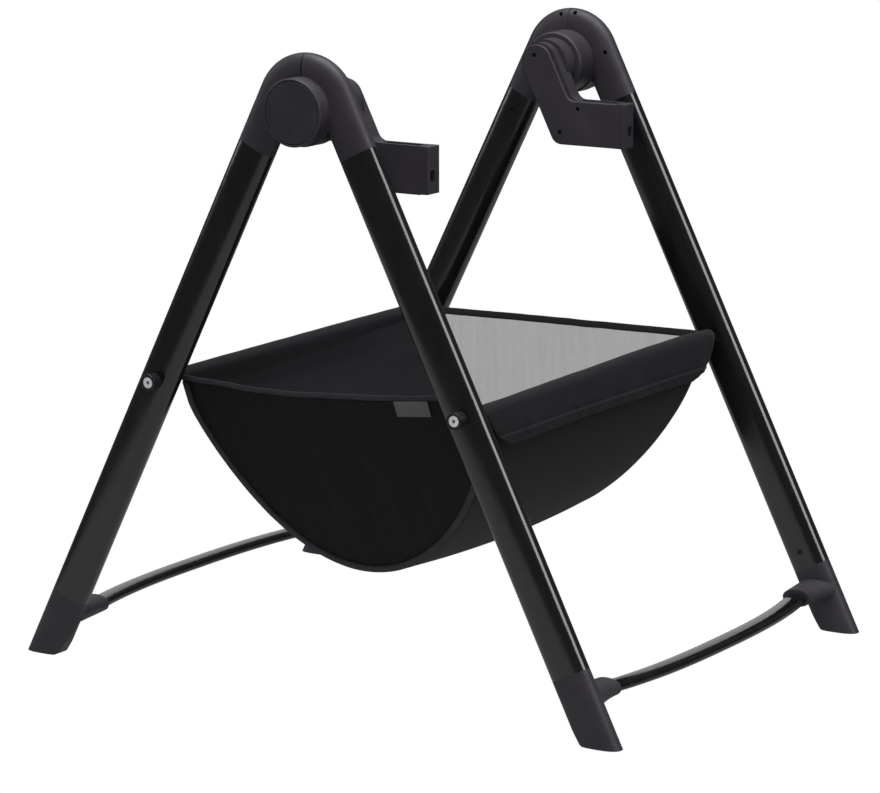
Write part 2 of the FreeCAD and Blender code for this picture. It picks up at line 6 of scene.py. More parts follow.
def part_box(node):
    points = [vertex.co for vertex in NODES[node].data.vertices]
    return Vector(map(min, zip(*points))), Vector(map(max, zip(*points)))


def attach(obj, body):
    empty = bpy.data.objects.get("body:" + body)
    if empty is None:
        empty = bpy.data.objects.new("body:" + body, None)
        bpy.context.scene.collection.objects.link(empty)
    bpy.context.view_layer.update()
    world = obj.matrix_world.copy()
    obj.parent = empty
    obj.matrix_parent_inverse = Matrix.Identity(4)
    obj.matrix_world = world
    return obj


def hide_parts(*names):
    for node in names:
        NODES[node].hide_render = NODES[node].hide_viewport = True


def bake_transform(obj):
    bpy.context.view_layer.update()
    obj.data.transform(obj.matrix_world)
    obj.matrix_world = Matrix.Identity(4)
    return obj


# Looks of the folding bassinet stand with its fabric basket. Metres, +Z up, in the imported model's frame.
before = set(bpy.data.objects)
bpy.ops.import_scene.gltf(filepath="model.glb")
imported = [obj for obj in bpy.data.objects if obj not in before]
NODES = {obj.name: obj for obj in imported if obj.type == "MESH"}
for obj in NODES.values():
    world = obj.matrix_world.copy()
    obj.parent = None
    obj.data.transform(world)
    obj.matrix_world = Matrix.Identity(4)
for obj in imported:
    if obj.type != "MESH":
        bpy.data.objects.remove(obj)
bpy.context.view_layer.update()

# Basket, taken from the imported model
ROD_LO, ROD_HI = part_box("front_rod")
ROD_X, ROD_Z = (ROD_LO.x + ROD_HI.x) / 2, (ROD_LO.z + ROD_HI.z) / 2
ROD_R = (ROD_HI.x - ROD_LO.x) / 2
SLING_LO, SLING_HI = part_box("sling")
HALF_X, WALL_Z, FLOOR_Z = SLING_HI.x, SLING_HI.z, SLING_LO.z
RIM_Y, RIM_Z, LEAN = 0.248, 0.331, 0.37  # the end panels lean in towards the bottom
PEAK_Z = ROD_Z - 0.001  # where the cloth leaves the rod, inside the basket
CLOTH_T = 0.0012
SAG = 0.007  # how far the sling's middle hangs below its ends
PROFILE = 1.33  # above 1 the trough has steeper walls and a flatter floor
SKEW, FAR_REAR_PULL, END_TILT = 0.004, 0.013, 0.005
FLAP_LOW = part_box("front_sleeve")[0].z
FLAP_END = 0.256
FLAP_HEM = 0.012  # height of the hem turned up along a flap's bottom
SLEEVE_T = 0.0008
HEM_H, HEM_T = {"near": 0.0066, "far": 0.0084}, 0.0024
BIND_W, BIND_T = 0.0078, 0.0026
TAPE_RISE = 0.024  # how far the edge tapes run up past the trough


# ---------- small maths ----------

def smooth(a, b, x):
    t = min(max((x - a) / (b - a), 0.0), 1.0)
    return t * t * (3 - 2 * t)


def lerp_path(points, x):
    """Value at x on a line through (x, value) points, with its corners eased."""
    if x <= points[0][0]:
        return points[0][1]
    for (x0, y0), (x1, y1) in zip(points, points[1:]):
        if x <= x1:
            eased, straight = smooth(x0, x1, x), (x - x0) / (x1 - x0)
            return y0 + (y1 - y0) * eased * 0.6 + (y1 - y0) * straight * 0.4
    return points[-1][1]


def ripple(x, y, z=0.0):
    return noise.noise(Vector((x, y, z)))


def end_y(z):
    """Distance of an end panel's plane from the middle, at height z."""
    return RIM_Y + (z - RIM_Z) * LEAN


def trough_z(x):
    """Height of the hanging trough at x."""
    share = max(0.0, 1 - (x / HALF_X) ** 2) ** (1 / PROFILE)
    return WALL_Z - (WALL_Z - FLOOR_Z) * share


def pulled(point):
    """The basket hangs towards the front and lower at the far end, and its far rear corner is drawn in."""
    deep = min(1.0, max(0.0, (RIM_Z - point.z) / (RIM_Z - FLOOR_Z)))
    shift = SKEW * math.sin(math.pi * deep)
    if point.x < 0 and point.y > 0:
        shift += (FAR_REAR_PULL * smooth(0.05, 0.24, point.y) * smooth(0.0, 0.05, RIM_Z - point.z)
                  * smooth(0.14, 0.22, point.z) * smooth(0.0, 0.12, -point.x))
    return Vector((point.x + shift, point.y, point.z - END_TILT * point.y * deep * deep))


def trough_line(count, top):
    """Evenly spaced (x, z, length) points of the trough, from top above the front wall, down and up again."""
    wall_steps, trough_steps = 60, 1200
    fine = [(HALF_X, WALL_Z + top * (1 - i / wall_steps)) for i in range(wall_steps)]
    for i in range(trough_steps + 1):
        ang = math.pi * (0.5 - i / trough_steps)
        x = HALF_X * math.sin(ang)
        fine.append((x, trough_z(x)))
    fine += [(-HALF_X, WALL_Z + top * (i + 1) / wall_steps) for i in range(wall_steps)]
    lengths = [0.0]
    for (x0, z0), (x1, z1) in zip(fine, fine[1:]):
        lengths.append(lengths[-1] + math.hypot(x1 - x0, z1 - z0))
    out, k = [], 0
    for i in range(count + 1):
        goal = lengths[-1] * i / count
        while k < len(fine) - 2 and lengths[k + 1] < goal:
            k += 1
        t = (goal - lengths[k]) / (lengths[k + 1] - lengths[k])
        out.append((fine[k][0] + (fine[k + 1][0] - fine[k][0]) * t,
                    fine[k][1] + (fine[k + 1][1] - fine[k][1]) * t, goal))
    return out


# ---------- mesh building ----------

def add_object(name, verts, faces, cloth=None):
    mesh = bpy.data.meshes.new(name)
    mesh.from_pydata(verts, [], faces)
    if cloth is not None:
        attribute = mesh.attributes.new("cloth", "FLOAT_VECTOR", "POINT")
        attribute.data.foreach_set("vector", [c for p in cloth for c in p])
    mesh.polygons.foreach_set("use_smooth", [True] * len(mesh.polygons))
    mesh.update()
    obj = bpy.data.objects.new(name, mesh)
    bpy.context.scene.collection.objects.link(obj)
    return obj


def grid_normals(rows):
    n, m = len(rows), len(rows[0])
    out = []
    for i in range(n):
        line = []
        for j in range(m):
            a = rows[min(i + 1, n - 1)][j] - rows[max(i - 1, 0)][j]
            b = rows[i][min(j + 1, m - 1)] - rows[i][max(j - 1, 0)]
            line.append(a.cross(b).normalized())
        out.append(line)
    return out


def grid_faces(n, m, first=0, flip=False):
    faces = []
    for i in range(n - 1):
        for j in range(m - 1):
            a = first + i * m + j
            quad = (a, a + 1, a + m + 1, a + m)
            faces.append(quad[::-1] if flip else quad)
    return faces


def cloth_grid(name, rows, cloth, thickness=None):
    """Sheet through a grid of points; with a thickness it is closed, growing against the grid's normal."""
    n, m = len(rows), len(rows[0])
    verts = [p for row in rows for p in row]
    flat = [c for row in cloth for c in row]
    faces = grid_faces(n, m, flip=True)
    if thickness is None:
        return add_object(name, verts, faces, flat)
    normals = grid_normals(rows)
    verts += [p - q * thickness for row, line in zip(rows, normals) for p, q in zip(row, line)]
    faces += grid_faces(n, m, n * m)
    rim = ([j for j in range(m)] + [i * m + m - 1 for i in range(1, n)]
           + [(n - 1) * m + j for j in range(m - 2, -1, -1)] + [i * m for i in range(n - 2, 0, -1)])
    for a, b in zip(rim, rim[1:] + rim[:1]):
        faces.append((a, b, b + n * m, a + n * m))
    return add_object(name, verts, faces, flat + flat)


def ribbon(name, stations, power=3.2, sides=14):
    """Padded strip swept along stations of (centre, wide axis, half width, thick axis, half thickness)."""
    verts, cloth, run = [], [], 0.0
    for k, (centre, wide, a, thick, b) in enumerate(stations):
        if k:
            run += (centre - stations[k - 1][0]).length
        for i in range(sides):
            ang = 2 * math.pi * i / sides
            c, s = math.cos(ang), math.sin(ang)
            u = math.copysign(abs(c) ** (2 / power), c) * a
            v = math.copysign(abs(s) ** (2 / power), s) * b
            verts.append(centre + wide * u + thick * v)
            cloth.append((run, u, v))
    count = len(stations)
    faces = []
    for k in range(count - 1):
        for i in range(sides):
            a, b = k * sides + i, k * sides + (i + 1) % sides
            faces.append((a, b, b + sides, a + sides))
    faces.append(tuple(range(sides - 1, -1, -1)))
    faces.append(tuple((count - 1) * sides + i for i in range(sides)))
    return add_object(name, verts, faces, cloth)


STITCH_RINGS = ((-0.5, 0.35), (-0.3, 0.95), (0.0, 1.1), (0.3, 0.95), (0.5, 0.35))  # place along, thickness


def stitches(name, line, length=0.0026, gap=0.0012, radius=0.00028, sides=6):
    """Row of sewn stitches along a line of (point, outward normal)."""
    last_ring = len(STITCH_RINGS) - 1
    verts, faces = [], []
    run, goal = 0.0, gap
    pitch = length + gap
    for (p0, n0), (p1, n1) in zip(line, line[1:]):
        span = (p1 - p0).length
        while goal <= run + span:
            t = (goal - run) / span
            centre, out = p0.lerp(p1, t), n0.lerp(n1, t).normalized()
            along = (p1 - p0).normalized()
            side = out.cross(along)
            first = len(verts)
            for step, thin in STITCH_RINGS:
                lift = out * radius * (0.7 - 2.2 * abs(step) ** 2)
                for i in range(sides):
                    ang = 2 * math.pi * i / sides
                    verts.append(centre + along * length * step + lift
                                 + (side * math.cos(ang) + out * math.sin(ang)) * radius * thin)
            for k in range(last_ring):
                for i in range(sides):
                    a, b = first + k * sides + i, first + k * sides + (i + 1) % sides
                    faces.append((a, b, b + sides, a + sides))
            faces.append(tuple(first + i for i in range(sides - 1, -1, -1)))
            faces.append(tuple(first + last_ring * sides + i for i in range(sides)))
            goal += pitch
        run += span
    return add_object(name, verts, faces)


# ---------- materials ----------

MM = 1000.0  # millimetres in a metre


class Finish:
    """One procedural material around a Principled shader."""

    def __init__(self, name, **sockets):
        self.material = bpy.data.materials.new(name)
        self.material.use_nodes = True
        self.tree = self.material.node_tree
        self.tree.nodes.clear()
        self.output = self.add("ShaderNodeOutputMaterial")
        self.shader = self.add("ShaderNodeBsdfPrincipled")
        self.join(self.shader.outputs[0], self.output.inputs["Surface"])
        for key, value in sockets.items():
            self.shader.inputs[key.replace("_", " ")].default_value = value

    def add(self, kind, **settings):
        node = self.tree.nodes.new(kind)
        for key, value in settings.items():
            if hasattr(node, key):
                setattr(node, key, value)
            else:
                node.inputs[key.replace("_", " ")].default_value = value
        return node

    def join(self, a, b):
        self.tree.links.new(a, b)

    def coords(self, scale=(1, 1, 1), tilt=0.0, cloth=False):
        mapping = self.add("ShaderNodeMapping", Scale=scale, Rotation=(0, tilt, 0))
        if cloth:
            source = self.add("ShaderNodeAttribute", attribute_name="cloth").outputs["Vector"]
        else:
            source = self.add("ShaderNodeTexCoord").outputs["Object"]
        self.join(source, mapping.inputs["Vector"])
        return mapping.outputs[0]

    def mask(self):
        """Painted highlight or painted shade along the edges, 0 to 1, kept in the third cloth coordinate in
        millimetres.
        """
        split = self.add("ShaderNodeSeparateXYZ")
        self.join(self.coords(cloth=True), split.inputs[0])
        return self.math("MULTIPLY", split.outputs[2], MM)

    def noise(self, vector, scale, detail=3.0, rough=0.55):
        node = self.add("ShaderNodeTexNoise", Scale=scale, Detail=detail, Roughness=rough)
        self.join(vector, node.inputs["Vector"])
        return node.outputs["Fac"]

    def wave(self, vector, axis, scale, distortion=0.0):
        node = self.add("ShaderNodeTexWave", Scale=scale, Distortion=distortion, bands_direction=axis)
        node.inputs["Detail Scale"].default_value = 3.0
        self.join(vector, node.inputs["Vector"])
        return node.outputs["Fac"]

    def span(self, value, low, high, a=0.0, b=1.0):
        node = self.add("ShaderNodeMapRange")
        for slot, number in zip((1, 2, 3, 4), (a, b, low, high)):
            node.inputs[slot].default_value = number
        self.join(value, node.inputs[0])
        return node.outputs[0]

    def math(self, how, a, b):
        node = self.add("ShaderNodeMath", operation=how)
        for slot, item in enumerate((a, b)):
            if isinstance(item, (int, float)):
                node.inputs[slot].default_value = item
            else:
                self.join(item, node.inputs[slot])
        return node.outputs[0]

    def colour(self, value, *stops):
        """Base colour from a value through a colour ramp of (position, colour) stops."""
        node = self.add("ShaderNodeValToRGB")
        ramp = node.color_ramp
        for k, (at, rgb) in enumerate(stops):
            element = ramp.elements[k] if k < 2 else ramp.elements.new(at)
            element.position = at
            element.color = (*rgb, 1)
        self.join(value, node.inputs[0])
        self.join(node.outputs[0], self.shader.inputs["Base Color"])

    def rough(self, value, low, high):
        self.join(self.span(value, low, high, 0.3, 0.7), self.shader.inputs["Roughness"])

    def bump(self, height, strength, distance, under=None):
        node = self.add("ShaderNodeBump", Strength=strength, Distance=distance)
        self.join(height, node.inputs["Height"])
        if under is not None:
            self.join(under, node.inputs["Normal"])
        self.join(node.outputs[0], self.shader.inputs["Normal"])
        return node.outputs[0]

    def edges(self, radius):
        return self.add("ShaderNodeBevel", samples=4, Radius=radius).outputs[0]


def band_scale(pitch):
    """Scale of a wave texture that gives one band per pitch."""
    return 2 * math.pi / (pitch * 20)


SEAM_HALF, SEAM_LOW_Z = 0.0009, 0.66  # dark line between the two shells of a hinge, above its drum


def moulding(name, dark, light, low=0.46, high=0.6, grain=0.5, seam=False):
    """Fine-grained moulded plastic with softened edges, darker where two shells meet above the hinge."""
    f = Finish(name, Specular_IOR_Level=0.42)
    at = f.coords()
    cloud = f.noise(at, 26.0)
    if seam:
        split = f.add("ShaderNodeSeparateXYZ")
        f.join(at, split.inputs[0])
        beside = f.math("GREATER_THAN", f.math("ABSOLUTE", split.outputs[0], 0.0), SEAM_HALF)
        below = f.math("LESS_THAN", split.outputs[2], SEAM_LOW_Z)
        cloud = f.math("MULTIPLY", cloud, f.math("MAXIMUM", beside, below))
        f.colour(cloud, (0.1, (0.002, 0.002, 0.002)), (0.3, dark), (0.72, light))
    else:
        f.colour(cloud, (0.3, dark), (0.72, light))
    f.rough(f.noise(at, 60.0), low, high)
    grains = f.math("ADD", f.noise(at, 1700.0, 2.0), f.math("MULTIPLY", f.noise(at, 700.0, 1.0), 0.5))
    f.bump(grains, grain, 0.00006, f.edges(0.0006))
    return f.material


def gloss_tube(name, tilt, shine=0.85, low=0.16, high=0.22):
    """Polished black tube with faint drawing lines along its length, which is tilted in the X-Z plane."""
    f = Finish(name, Specular_IOR_Level=shine)
    fine = f.coords((1.0, 1.0, 0.012), tilt)
    slow = f.coords((1.0, 1.0, 0.06), tilt)
    lines = f.noise(fine, 900.0, 3.0)
    f.colour(f.noise(slow, 40.0), (0.3, (0.0042, 0.0036, 0.0042)), (0.75, (0.0085, 0.0072, 0.0082)))
    f.rough(f.noise(slow, 70.0), low, high)
    f.bump(f.math("ADD", f.math("MULTIPLY", lines, 0.15), f.noise(slow, 30.0, 1.0)), 0.03, 0.00005)
    return f.material


def metal(name, rgb, low, high, plain=1.0):
    """Metal with painted shade in its recesses; the plain share is bare and the rest has a dull coating."""
    f = Finish(name, Metallic=plain)
    at = f.coords()
    # painted shade: the colour darkens where ambient occlusion finds a recess, as in the bolts' hex sockets
    hollow = f.add("ShaderNodeAmbientOcclusion", samples=8, Distance=0.003)
    open_share = f.math("POWER", hollow.outputs["AO"], 1.6)
    shade = f.math("MULTIPLY", f.span(f.noise(at, 300.0), 0.8, 1.0, 0.3, 0.7), open_share)
    f.colour(shade, (0.25, tuple(c * 0.12 for c in rgb)), (0.95, rgb))
    f.rough(f.noise(at, 500.0), low, high)
    f.bump(f.noise(at, 1500.0, 2.0), 0.2, 0.00003, f.edges(0.0003))
    return f.material


def woven(name, dark, light, thread=0.00052, sheen=0.06, depth=0.00012):
    """Plain-weave cloth: crossing threads, soft mottling, a light nap and painted highlights on marked edges.
    """
    f = Finish(name, Specular_IOR_Level=0.16, Sheen_Weight=sheen, Sheen_Roughness=0.45)
    f.shader.inputs["Sheen Tint"].default_value = (0.82, 0.78, 0.84, 1)
    at = f.coords(cloth=True)
    warp = f.wave(at, "X", band_scale(thread))
    weft = f.wave(at, "Y", band_scale(thread))
    weave = f.math("MAXIMUM", f.math("MULTIPLY", warp, f.math("SUBTRACT", 1.15, weft)),
                   f.math("MULTIPLY", weft, f.math("SUBTRACT", 1.15, warp)))
    mottle = f.noise(at, 55.0, 4.0)
    slub = f.noise(f.coords((1.0, 9.0, 1.0), cloth=True), 180.0, 3.0)
    tone = f.math("ADD", f.math("MULTIPLY", weave, 0.35), f.math("MULTIPLY", mottle, 0.4))
    # painted highlight: marked edges and seam lines push the tone up to the last, much lighter stop
    tone = f.math("ADD", tone, f.math("MULTIPLY", f.mask(), 0.4))
    f.colour(tone, (0.15, dark), (0.6, light), (1.0, tuple(2.4 * c for c in light)))
    f.rough(slub, 0.72, 0.92)
    f.bump(f.math("ADD", weave, f.math("MULTIPLY", slub, 0.6)), 0.55, depth)
    return f.material


RIB_PITCH, THREAD_PITCH = 0.00125, 0.0009


def open_mesh(name, low, high):
    """Fine knitted mesh: upright ribs crossed by thin threads, low to high opaque between and on them."""
    f = Finish(name, Specular_IOR_Level=0.2, Sheen_Weight=0.05, Sheen_Roughness=0.4)
    at = f.coords(cloth=True)
    rib = f.wave(at, "X", band_scale(RIB_PITCH))
    thread = f.wave(at, "Y", band_scale(THREAD_PITCH))
    uneven = f.noise(f.coords((1.0, 0.008, 1.0), cloth=True), 420.0, 3.0, 0.7)
    broad = f.noise(f.coords((1.0, 0.03, 1.0), cloth=True), 60.0, 2.0, 0.6)
    cover = f.math("MAXIMUM", rib, f.math("MULTIPLY", thread, 0.8))
    cover = f.math("ADD", f.math("MULTIPLY", cover, 0.8),
                   f.math("ADD", f.math("MULTIPLY", uneven, 0.11), f.math("MULTIPLY", broad, 0.05)))
    # painted shade: darker next to the near panel's tape and hem, as marked in the cloth coordinate
    tone = f.math("SUBTRACT", f.math("MULTIPLY", rib, uneven), f.mask())
    f.colour(tone, (0.0, (0.0012, 0.001, 0.0012)), (0.1, (0.0048, 0.004, 0.005)),
             (0.6, (0.009, 0.0076, 0.0092)))
    f.rough(uneven, 0.6, 0.85)
    f.bump(cover, 0.6, 0.0002)
    clear = f.add("ShaderNodeBsdfTransparent")
    mix = f.add("ShaderNodeMixShader")
    f.join(f.span(cover, low, high, 0.25, 0.85), mix.inputs[0])
    f.join(clear.outputs[0], mix.inputs[1])
    f.join(f.shader.outputs[0], mix.inputs[2])
    f.join(mix.outputs[0], f.output.inputs["Surface"])
    return f.material


LEG_TILT = math.radians(26.4)
CHARCOAL = moulding("charcoal_moulding", (0.0235, 0.0205, 0.0265), (0.0325, 0.0285, 0.0365))
CHARCOAL_SEAM = moulding("shell_moulding", (0.0235, 0.0205, 0.0265), (0.0325, 0.0285, 0.0365), seam=True)
CHARCOAL_FOOT = moulding("foot_moulding", (0.0225, 0.02, 0.0255), (0.031, 0.0275, 0.035), 0.5, 0.64, 0.6)
CAP = moulding("cap_moulding", (0.022, 0.02, 0.024), (0.03, 0.027, 0.033), 0.4, 0.52, 0.4)
BARREL = moulding("gloss_moulding", (0.013, 0.012, 0.014), (0.02, 0.018, 0.021), 0.24, 0.34, 0.12)
FRONT_TUBE = gloss_tube("front_leg_finish", LEG_TILT)
REAR_TUBE = gloss_tube("rear_leg_finish", -LEG_TILT)
BAR_TUBE = gloss_tube("bar_finish", math.pi / 2, 0.45, 0.1, 0.15)
BOLT = metal("bright_zinc", (0.9, 0.93, 0.95), 0.34, 0.46, 0.35)
STEEL = metal("bare_steel", (0.5, 0.5, 0.52), 0.28, 0.42)
DARK_SCREW = metal("blackened_screw", (0.05, 0.048, 0.052), 0.35, 0.5)
CLOTH = woven("basket_cloth", (0.006, 0.005, 0.0068), (0.0122, 0.0104, 0.0134))
TRIM = woven("hem_tape", (0.011, 0.0095, 0.0118), (0.023, 0.02, 0.0245), 0.0007, 0.1, 0.0002)
THREAD = woven("sewing_thread", (0.02, 0.018, 0.0215), (0.038, 0.034, 0.041), 0.0004, 0.12, 0.0001)
TAG = woven("label_weave", (0.1, 0.098, 0.102), (0.16, 0.156, 0.162), 0.0005, 0.1, 0.00015)
FAR_MESH = open_mesh("mesh_panel", 0.2, 0.98)
NEAR_MESH = open_mesh("close_mesh_panel", 0.88, 1.0)

FINISHES = {
    "front_leg": FRONT_TUBE, "rear_leg": REAR_TUBE, "crossbar": BAR_TUBE, "rod": BAR_TUBE,
    "foot": CHARCOAL_FOOT, "hinge_shell": CHARCOAL_SEAM, "button": CAP, "spacers": BARREL, "bolts": BOLT,
    "axle": STEEL, "gear": STEEL, "spring": STEEL, "leg_screws": DARK_SCREW,
    "housing_screws": DARK_SCREW, "cover_screws": DARK_SCREW,
}


def finish_of(node):
    """Finish of a CAD node by a word in its name; screws come first, as their names hold other words."""
    for word in ("leg_screws", "housing_screws", "cover_screws", *FINISHES):
        if word in node:
            return FINISHES[word]
    return CHARCOAL


for node_name, cad_object in NODES.items():
    for material_slot in cad_object.material_slots:
        material_slot.material = finish_of(node_name)


# ---------- basket ----------

def dress(obj, material):
    obj.data.materials.append(material)
    return obj


def across(obj):
    """Bakes the object's placement into its mesh; the basket's cloth runs from the front frame at +X to the
    rear frame at -X.
    """
    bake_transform(obj)


def sling_point(x, z, b):
    """Point of the sagging trough at profile point (x, z); b is -1 at the near end and 1 at the far end."""
    deep = 1 - (x / HALF_X) ** 2
    y = b * end_y(z)
    seam = 1 - smooth(0.0, 0.16, 1 - abs(b))
    pucker = 0.0007 * seam * ripple(x * 60 + z * 60, b * 2.0, 3.1)
    fold = 0.0011 * ripple(x * 14, y * 5, z * 14) * (1 - seam)
    sag = SAG * deep * (1 - b * b)
    side = math.copysign(1.0, x) * (pucker + fold) * min(1.0, abs(x) / 0.05)
    return pulled(Vector((x + side, y, z - sag - (pucker + fold) * deep)))


def build_sling():
    """The basket's long cloth, hung from rod to rod."""
    steps, cols = 160, 110
    line = trough_line(steps, PEAK_Z - WALL_Z)
    rows, cloth = [], []
    for x, z, run in line:
        rows.append([sling_point(x, z, 2 * j / cols - 1) for j in range(cols + 1)])
        cloth.append([(p.y, run, 0.0) for p in rows[-1]])
    sling = dress(cloth_grid("sling_cloth", rows, cloth, -CLOTH_T), CLOTH)
    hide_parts("sling")
    across(sling)


# (x, height of a panel's top edge)
NEAR_HEM = [(-0.189, 0.332), (-0.15, 0.331), (-0.1, 0.328), (-0.05, 0.328), (0.0, 0.3315),
            (0.05, 0.335), (0.1, 0.3395), (0.15, 0.345), (0.189, 0.3455)]
FAR_HEM = [(-0.189, 0.3352), (0.0, 0.3378), (0.189, 0.3398)]
FAR_RIPPLE = 0.35  # the far panel is pulled flatter than the near one


def panel_out(x, z, side):
    """How far a panel's cloth stands out from its plane."""
    inside = min(1.0, max(0.0, (z - trough_z(x)) / 0.03))
    wave = 0.0012 * ripple(x * 22, z * 6, 7.0 * side) + 0.0005 * ripple(x * 70, z * 14, 2.0 * side)
    return inside * wave * (FAR_RIPPLE if side > 0 else 1.0)


# painted shade along the near panel's tape and its hem
SHADE_WIDTH, SHADE_DEPTH = 0.0026, 0.0006
SHADE_BELOW_TOP = 0.0068  # the painted shade line under the hem


def seam_shade(x, z, top):
    """1 close to a panel's tape or hem, where painted shade darkens the cloth, 0 elsewhere."""
    past_tape = min(z - trough_z(x), 0.9 * (HALF_X - abs(x))) - BIND_W
    past_hem = top - z - SHADE_BELOW_TOP
    return 1 - smooth(0.0, SHADE_WIDTH, min(past_tape, past_hem))


def panel_point(x, z, side, lift=0.0):
    """Point of an end panel at (x, z), lifted outwards off its cloth."""
    y = end_y(z) + panel_out(x, z, side) + lift
    return pulled(Vector((x, side * y, z)))


def build_panel(word, side, hem):
    """Mesh panel that closes one end of the basket, from the trough up to its hem."""
    cols, steps = 96, 72
    rows, cloth = [], []
    for i in range(steps + 1):
        row = []
        for j in range(cols + 1):
            x = (HALF_X - 0.0006) * math.sin(math.pi * (j / cols - 0.5))
            low, high = trough_z(x) + 0.0004, lerp_path(hem, x) - 0.001
            z = low + (high - low) * i / steps
            row.append(panel_point(x, z, side))
        rows.append(row)
        # the third cloth place holds painted shade by the near panel's tape and hem
        cloth.append([(p.x + 0.23 * p.z, p.z * math.hypot(1, LEAN),
                       SHADE_DEPTH * seam_shade(p.x, p.z, lerp_path(hem, p.x)) * (side < 0)) for p in row])
    finish = FAR_MESH if side > 0 else NEAR_MESH
    panel = dress(cloth_grid(word + "_mesh_panel", rows, cloth), finish)
    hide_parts("end_panel_" + word)
    across(panel)


UP = Vector((0, LEAN, 1)).normalized()  # up along the far panel


def panel_axes(side):
    """Directions up along a panel and out of it."""
    return Vector((0, side * UP.y, UP.z)), Vector((0, side * UP.z, -UP.y))


def build_hem(word, side, hem):
    """Padded hem along a panel's top, with a row of stitches near its lower edge."""
    high, steps = HEM_H[word], 120
    up, out = panel_axes(side)
    stations, low_line = [], []
    for i in range(steps + 1):
        x = (HALF_X + 0.001) * (2 * i / steps - 1)
        z = lerp_path(hem, x) - high / 2 + 0.0003 * ripple(x * 40, side)
        centre = panel_point(x, z, side) + out * 0.0002
        half = high / 2 * (1 + 0.04 * ripple(x * 55, 4.0 + side))
        stations.append((centre, up, half, out, HEM_T / 2 * (1 + 0.1 * ripple(x * 80, side))))
        low_line.append((centre - up * (half - 0.0015) + out * HEM_T * 0.47, out))
    band = dress(ribbon(word + "_panel_hem", stations), TRIM)
    thread = dress(stitches(word + "_hem_stitches", low_line), THREAD)
    across(band)
    across(thread)


def build_binding(word, side):
    """Tape folded over the seam, lying flat round the panel's edge."""
    stations, sewn = [], []
    steps = 180
    line = trough_line(steps, TAPE_RISE)
    up, out = panel_axes(side)
    for i, (x, z, run) in enumerate(line):
        x0, z0, _ = line[max(i - 1, 0)]
        x1, z1, _ = line[min(i + 1, len(line) - 1)]
        along = (Vector((x1 - x0, 0, 0)) + up * (z1 - z0) * math.hypot(1, LEAN)).normalized()
        inward = along.cross(out)
        if inward.dot(Vector((-x, 0, RIM_Z - z))) < 0:
            inward.negate()
        edge = pulled(Vector((x, side * end_y(z), z)))
        centre = edge + inward * (BIND_W / 2 - 0.0012) + out * (0.0008 + 0.0003 * ripple(run * 40, side))
        half = BIND_W / 2 * (1 + 0.05 * ripple(run * 60, 2 * side))
        thick = BIND_T / 2 * (1 + 0.12 * ripple(run * 90, 5.0 + side))
        stations.append((centre, inward, half, out, thick))
        sewn.append((centre + inward * (half - 0.0013) + out * thick * 0.9, out))
    tape = dress(ribbon(word + "_edge_tape", stations), TRIM)
    thread = dress(stitches(word + "_tape_stitches", sewn), THREAD)
    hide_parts("binding_" + word)
    across(tape)
    across(thread)


# (y, how much higher the sleeve lies on its rod)
FRONT_SWELL = [(-0.256, -0.0006), (-0.2, -0.0004), (-0.05, 0.002), (0.1, 0.0042), (0.2, 0.0046),
               (0.256, 0.0022)]
REAR_SWELL = [(-0.256, -0.0008), (0.0, -0.0004), (0.256, -0.0007)]
# (z, how far a flap reaches from the middle)
NEAR_EDGE = [(FLAP_LOW, 0.203), (FLAP_LOW + 0.003, 0.214), (0.3, 0.2235), (0.307, 0.2325),
             (0.316, 0.2405), (0.328, 0.2495), (0.337, FLAP_END)]
FAR_EDGE = [(FLAP_LOW, 0.2), (FLAP_LOW + 0.0035, 0.2135), (0.2985, 0.2265), (0.304, 0.236),
            (0.3115, 0.245), (0.322, 0.252), (0.333, FLAP_END)]
REAR_EDGE = [(FLAP_LOW, 0.185), (0.3, 0.194), (0.316, 0.205), (0.324, 0.216), (0.33, 0.235), (0.337, 0.25)]


INNER_STEPS, TOP_STEPS, FLAP_STEPS, SLEEVE_COLS = 12, 16, 40, 150
INNER_DEPTH = 0.021  # the sleeve's inner edge lies this far down the sling
ROD_GAP = 0.0012
HEM_OUT = 0.0017
HEM_SEAM, HEM_STITCHES = 0.0128, 0.0118  # heights above a flap's bottom
END_STITCH_COL = 2


def sleeve_section():
    """Section of the front sleeve from inside the basket, over the rod, down to the flap's bottom."""
    r = ROD_R + ROD_GAP + CLOTH_T
    points = []
    for i in range(INNER_STEPS):
        x = HALF_X - 0.0004 + (ROD_X - r - HALF_X + 0.0004) * smooth(0, INNER_STEPS, i)
        points.append((x, PEAK_Z - INNER_DEPTH * (1 - i / INNER_STEPS), "inner"))
    for i in range(1, TOP_STEPS):
        ang = math.pi * (1 - i / TOP_STEPS)
        points.append((ROD_X + r * math.cos(ang), PEAK_Z + r * math.sin(ang), "top"))
    for i in range(FLAP_STEPS):
        t = i / (FLAP_STEPS - 1)
        z = PEAK_Z + (FLAP_LOW - ROD_Z + 0.001) * (1 - (1 - t) ** 1.4)
        points.append((ROD_X + r + 0.0004 * math.sin(math.pi * t), z, "flap"))
    return points


def flap_hem(rise):
    """How far the turned-up hem stands out, with the groove of its seam; rise is 0 to 1 up the hem."""
    hem = HEM_OUT * (1 - smooth(0.9, 1.02, rise)) * (1 - 0.35 * (1 - rise) ** 2)
    return hem - 0.0006 * math.exp(-((rise - 1.04) / 0.09) ** 2)


def flap_highlight(z):
    """1 on the painted highlight lines along a flap's bottom and along the seam of its hem, 0 elsewhere."""
    on_seam = 1 - smooth(0.0, 0.0022, abs(z - FLAP_LOW - HEM_SEAM))
    on_bottom = 1 - smooth(0.0, 0.0014, z - FLAP_LOW)
    return max(on_seam, on_bottom)


